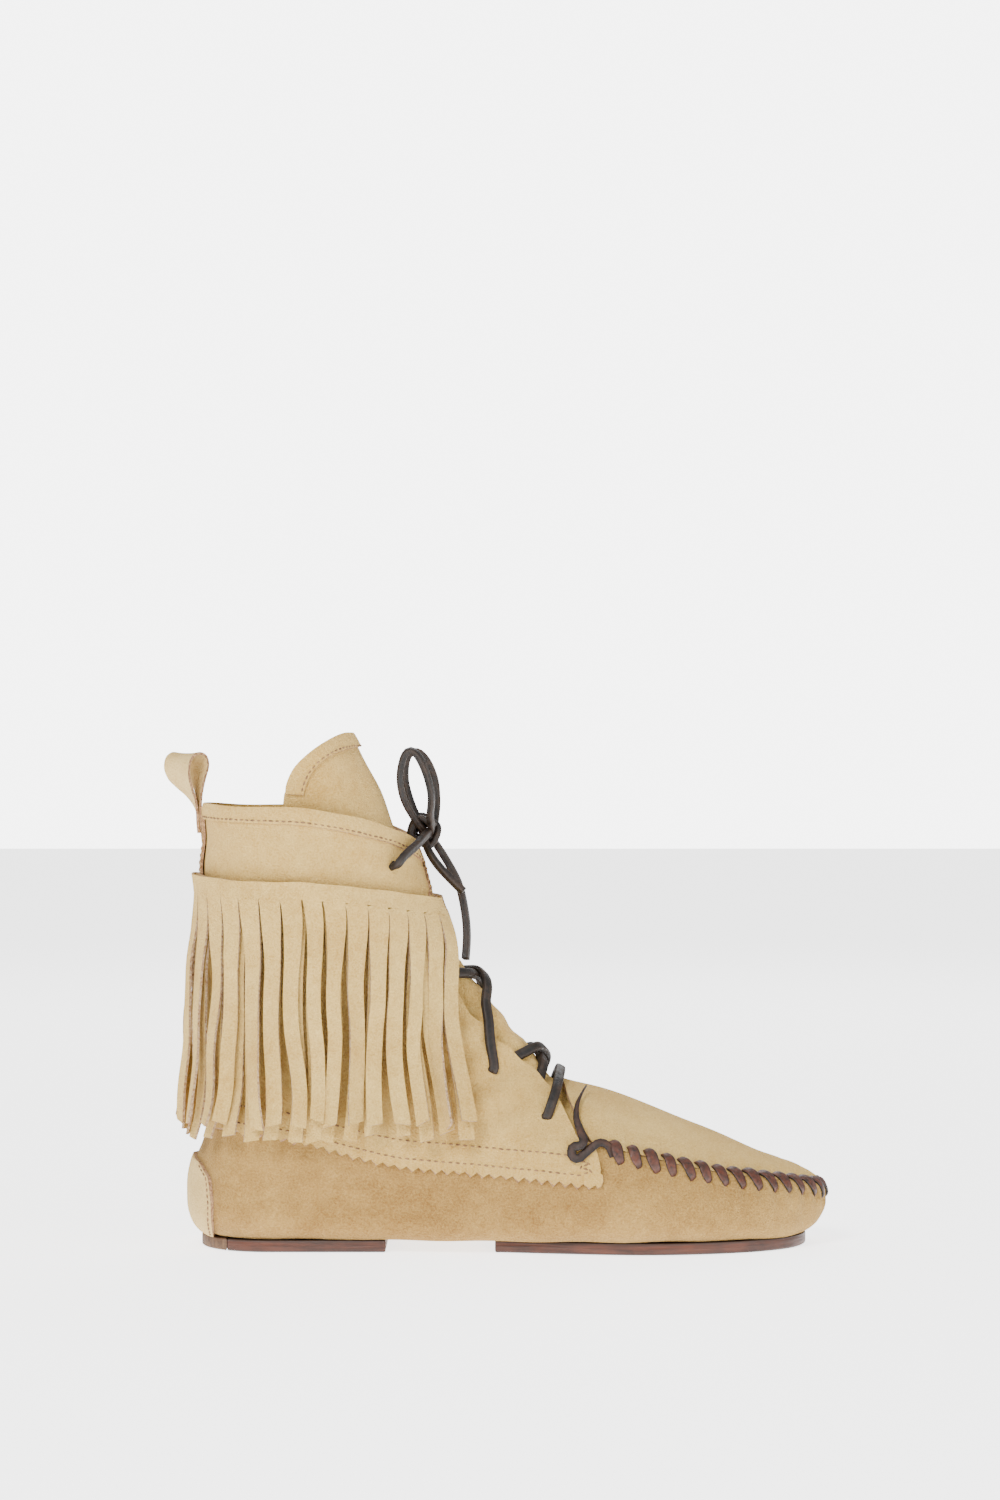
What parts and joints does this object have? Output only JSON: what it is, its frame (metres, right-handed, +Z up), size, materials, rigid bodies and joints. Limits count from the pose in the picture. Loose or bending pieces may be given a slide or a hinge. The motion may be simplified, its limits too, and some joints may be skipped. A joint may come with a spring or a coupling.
{
  "type": "moccasin boot",
  "caption": "Fringed suede moccasin ankle boot: laced shaft with tongue and bow, whip-stitched plug, pull loop and split leather sole.",
  "frame": {"origin": "centre of the heel lift's tread, on the ground", "axes": "+X to the toe, +Z up, -Y the lateral side of this right boot"},
  "size_m": [0.2734, 0.0887, 0.2093],
  "materials": {
    "suede": "napped suede",
    "wrap_suede": "napped suede",
    "fringe_suede": "napped suede with pale cut edges",
    "pale_suede": "napped suede",
    "lace_leather": "waxed leather lace",
    "thong_leather": "oiled leather thong with dark edges",
    "sole_leather": "smooth burnished leather",
    "heel_rubber": "matte rubber",
    "board": "pressed fibre board",
    "sock": "smooth lining leather",
    "counter": "stiffener sheet"
  },
  "bodies": {
    "boot": {"heel_lift": "sole_leather", "forefoot_sole": "sole_leather", "heel_rubber_corner": "heel_rubber", "insole_board": "board", "insole_sock": "sock", "heel_counter": "counter", "heel_patch": "pale_suede", "wrap": "wrap_suede", "plug": "suede", "quarter_lateral": "suede", "quarter_medial": "suede", "eyelet_stay_lateral": "suede", "eyelet_stay_medial": "suede", "collar_band_lateral": "suede", "collar_band_medial": "suede", "backstay": "suede", "pull_loop_anchor": "pale_suede", "inner_fringe_header": "fringe_suede", "outer_fringe_header": "fringe_suede", "lace": "lace_leather", "whip_thong": "thong_leather", "bow_knot": "lace_leather", "bow_start_lateral": "lace_leather", "bow_loop_lateral": "lace_leather", "bow_tail_lateral": "lace_leather", "bow_start_medial": "lace_leather", "bow_loop_medial": "lace_leather", "bow_tail_medial": "lace_leather"},
    "tongue": {"tongue": "suede", "tongue_band": "suede"},
    "pull_loop": {"pull_loop": "pale_suede"},
    "fringe_lateral_front": {"outer_fringe_lateral_front": "fringe_suede", "inner_fringe_lateral_front": "fringe_suede"},
    "fringe_lateral_middle": {"outer_fringe_lateral_middle": "fringe_suede", "inner_fringe_lateral_middle": "fringe_suede"},
    "fringe_lateral_rear": {"outer_fringe_lateral_rear": "fringe_suede", "inner_fringe_lateral_rear": "fringe_suede"},
    "fringe_back": {"outer_fringe_back": "fringe_suede", "inner_fringe_back": "fringe_suede"},
    "fringe_medial_rear": {"outer_fringe_medial_rear": "fringe_suede", "inner_fringe_medial_rear": "fringe_suede"},
    "fringe_medial_middle": {"outer_fringe_medial_middle": "fringe_suede", "inner_fringe_medial_middle": "fringe_suede"},
    "fringe_medial_front": {"outer_fringe_medial_front": "fringe_suede", "inner_fringe_medial_front": "fringe_suede"}
  },
  "joints": [
    {"name": "tongue_bend", "type": "hinge", "parent": "boot", "child": "tongue", "pos_m": [0.1237, 0, 0.045], "axis": [0, -1, 0], "range_deg": [0, 4], "stiffness_Nm_per_rad": 0.6},
    {"name": "pull_loop_bend", "type": "hinge", "parent": "boot", "child": "pull_loop", "pos_m": [-0.0421, 0, 0.18], "axis": [0, -1, 0], "range_deg": [-8, 60], "stiffness_Nm_per_rad": 0.01},
    {"name": "fringe_lateral_front_swing", "type": "hinge", "parent": "boot", "child": "fringe_lateral_front", "pos_m": [0.04971, -0.02653, 0.13946], "axis": [-0.7497, -0.6617, 0], "range_deg": [0, 50]},
    {"name": "fringe_lateral_middle_swing", "type": "hinge", "parent": "boot", "child": "fringe_lateral_middle", "pos_m": [0.01354, -0.04222, 0.14202], "axis": [-0.9944, -0.1053, 0], "range_deg": [0, 50]},
    {"name": "fringe_lateral_rear_swing", "type": "hinge", "parent": "boot", "child": "fringe_lateral_rear", "pos_m": [-0.0207, -0.03651, 0.1435], "axis": [-0.8811, 0.473, 0], "range_deg": [0, 50]},
    {"name": "fringe_back_swing", "type": "hinge", "parent": "boot", "child": "fringe_back", "pos_m": [-0.04228, 0, 0.14429], "axis": [0, 1, 0], "range_deg": [0, 50]},
    {"name": "fringe_medial_rear_swing", "type": "hinge", "parent": "boot", "child": "fringe_medial_rear", "pos_m": [-0.0207, 0.03651, 0.1435], "axis": [0.8811, 0.473, 0], "range_deg": [0, 50]},
    {"name": "fringe_medial_middle_swing", "type": "hinge", "parent": "boot", "child": "fringe_medial_middle", "pos_m": [0.01354, 0.04222, 0.14202], "axis": [0.9944, -0.1053, 0], "range_deg": [0, 50]},
    {"name": "fringe_medial_front_swing", "type": "hinge", "parent": "boot", "child": "fringe_medial_front", "pos_m": [0.04971, 0.02653, 0.13946], "axis": [0.7497, -0.6617, 0], "range_deg": [0, 50]}
  ]
}
